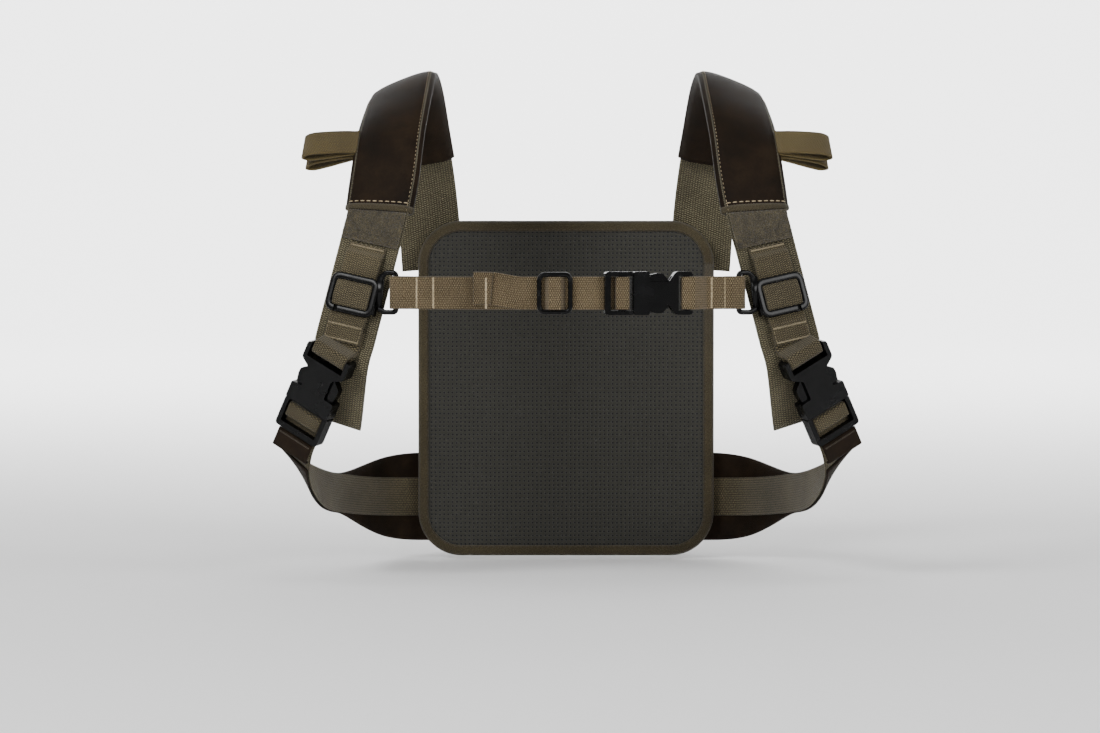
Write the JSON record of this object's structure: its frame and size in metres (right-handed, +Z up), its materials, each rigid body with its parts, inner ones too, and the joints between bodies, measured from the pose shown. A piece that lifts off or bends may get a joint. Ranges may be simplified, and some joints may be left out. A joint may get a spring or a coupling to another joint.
{
  "type": "safety harness vest",
  "caption": "Shoulder harness in its worn shape: padded shoulder straps, sternum strap with release buckle on height sliders, side straps and a flat back panel.",
  "frame": {"origin": "centre of the back panel's body-side face", "axes": "+X towards the wearer's left hand, which is on the right seen from the front, -Y the way the wearer faces, +Z up"},
  "size_m": [0.3634, 0.2444, 0.319],
  "materials": {
    "olive_webbing": "woven nylon, matt",
    "tan_webbing": "woven nylon, matt",
    "laminate": "coated woven laminate, fine grain",
    "loop_pile": "brushed hook-and-loop pile",
    "foam": "closed-cell foam",
    "mesh": "spacer mesh",
    "acetal": "moulded acetal, satin"
  },
  "bodies": {
    "harness": {"back_liner": "mesh", "back_foam": "foam", "back_shell": "laminate", "back_edge_tape": "olive_webbing", "pouch_row_1": "olive_webbing", "pouch_row_2": "olive_webbing", "pouch_row_3": "olive_webbing", "shoulder_webbing_right": "olive_webbing", "pad_cover_right": "laminate", "pad_foam_right": "foam", "pad_end_tape_right": "olive_webbing", "loop_field_right": "loop_pile", "ladder_webbing_right": "olive_webbing", "buckle_loop_right": "olive_webbing", "carry_loop_front_right": "tan_webbing", "carry_loop_rear_right": "tan_webbing", "side_webbing_right": "olive_webbing", "side_facing_right": "laminate", "side_wing_right": "laminate", "side_socket_right": "acetal", "shoulder_webbing_left": "olive_webbing", "pad_cover_left": "laminate", "pad_foam_left": "foam", "pad_end_tape_left": "olive_webbing", "loop_field_left": "loop_pile", "ladder_webbing_left": "olive_webbing", "buckle_loop_left": "olive_webbing", "carry_loop_front_left": "tan_webbing", "carry_loop_rear_left": "tan_webbing", "side_webbing_left": "olive_webbing", "side_facing_left": "laminate", "side_wing_left": "laminate", "side_socket_left": "acetal"},
    "sternum_strap": {"sternum_webbing_long": "tan_webbing", "sternum_webbing_short": "tan_webbing", "sternum_socket": "acetal"},
    "triglide": {"sternum_triglide": "acetal"},
    "sternum_release": {"sternum_tongue": "acetal"},
    "sternum_latch_upper": {"sternum_arm_upper": "acetal"},
    "sternum_latch_lower": {"sternum_arm_lower": "acetal"},
    "slider_right": {"sternum_slider_right": "acetal"},
    "side_release_right": {"side_tongue_right": "acetal", "strap_end_right": "laminate"},
    "side_latch_outer_right": {"side_arm_outer_right": "acetal"},
    "side_latch_inner_right": {"side_arm_inner_right": "acetal"},
    "slider_left": {"sternum_slider_left": "acetal"},
    "side_release_left": {"side_tongue_left": "acetal", "strap_end_left": "laminate"},
    "side_latch_outer_left": {"side_arm_outer_left": "acetal"},
    "side_latch_inner_left": {"side_arm_inner_left": "acetal"}
  },
  "joints": [
    {"name": "sternum_height", "type": "slide", "parent": "harness", "child": "sternum_strap", "axis": [0, 0.0999, 0.995], "range_m": [-0.0015, 0.012]},
    {"name": "sternum_pull", "type": "slide", "parent": "sternum_strap", "child": "sternum_release", "axis": [-0.9878, -0.1558, 0], "range_m": [0, 0.026], "deforming": ["sternum_webbing_long", "sternum_arm_upper", "sternum_arm_lower"]},
    {"name": "triglide_slide", "type": "slide", "parent": "sternum_strap", "child": "triglide", "axis": [-0.9997, 0.0245, 0], "range_m": [0, 0.0224]},
    {"name": "sternum_latch", "type": "hinge", "parent": "sternum_release", "child": "sternum_latch_upper", "pos_m": [0.04173, -0.22569, 0.0751], "axis": [-0.1558, 0.9878, 0], "range_deg": [0, 8], "stiffness_Nm_per_rad": 0.02},
    {"name": "sternum_latch_mirror", "type": "hinge", "parent": "sternum_release", "child": "sternum_latch_lower", "pos_m": [0.04173, -0.22569, 0.0609], "axis": [0.1558, -0.9878, 0], "range_deg": [0, 8]},
    {"name": "slider_right_height", "type": "slide", "parent": "harness", "child": "slider_right", "axis": [-0.2479, 0.0968, 0.9639], "range_m": [-0.0016, 0.0125]},
    {"name": "side_pull_right", "type": "slide", "parent": "harness", "child": "side_release_right", "axis": [0.3805, 0.3104, -0.8711], "range_m": [0, 0.028], "deforming": ["side_webbing_right", "side_arm_outer_right", "side_arm_inner_right"]},
    {"name": "side_latch_right", "type": "hinge", "parent": "side_release_right", "child": "side_latch_inner_right", "pos_m": [0.1495, -0.19628, -0.00537], "axis": [-0.4596, 0.8809, 0.1131], "range_deg": [0, 8], "stiffness_Nm_per_rad": 0.03},
    {"name": "side_latch_right_mirror", "type": "hinge", "parent": "side_release_right", "child": "side_latch_outer_right", "pos_m": [0.16523, -0.18928, 0.004], "axis": [0.4596, -0.8809, -0.1131], "range_deg": [0, 8]},
    {"name": "slider_left_height", "type": "slide", "parent": "harness", "child": "slider_left", "axis": [0.2479, 0.0968, 0.9639], "range_m": [-0.0016, 0.0125]},
    {"name": "side_pull_left", "type": "slide", "parent": "harness", "child": "side_release_left", "axis": [-0.3805, 0.3104, -0.8711], "range_m": [0, 0.028], "deforming": ["side_webbing_left", "side_arm_outer_left", "side_arm_inner_left"]},
    {"name": "side_latch_left", "type": "hinge", "parent": "side_release_left", "child": "side_latch_inner_left", "pos_m": [-0.1495, -0.19628, -0.00537], "axis": [-0.4596, -0.8809, -0.1131], "range_deg": [0, 8], "stiffness_Nm_per_rad": 0.03},
    {"name": "side_latch_left_mirror", "type": "hinge", "parent": "side_release_left", "child": "side_latch_outer_left", "pos_m": [-0.16523, -0.18928, 0.004], "axis": [0.4596, 0.8809, 0.1131], "range_deg": [0, 8]}
  ],
  "couplings": [
    {"joint": "triglide_slide", "follows": "sternum_pull", "ratio": 0.86},
    {"joint": "sternum_latch_mirror", "follows": "sternum_latch", "ratio": 1},
    {"joint": "slider_right_height", "follows": "sternum_height", "ratio": 1.0322},
    {"joint": "side_latch_right_mirror", "follows": "side_latch_right", "ratio": 1},
    {"joint": "slider_left_height", "follows": "sternum_height", "ratio": 1.0322},
    {"joint": "side_latch_left_mirror", "follows": "side_latch_left", "ratio": 1}
  ]
}
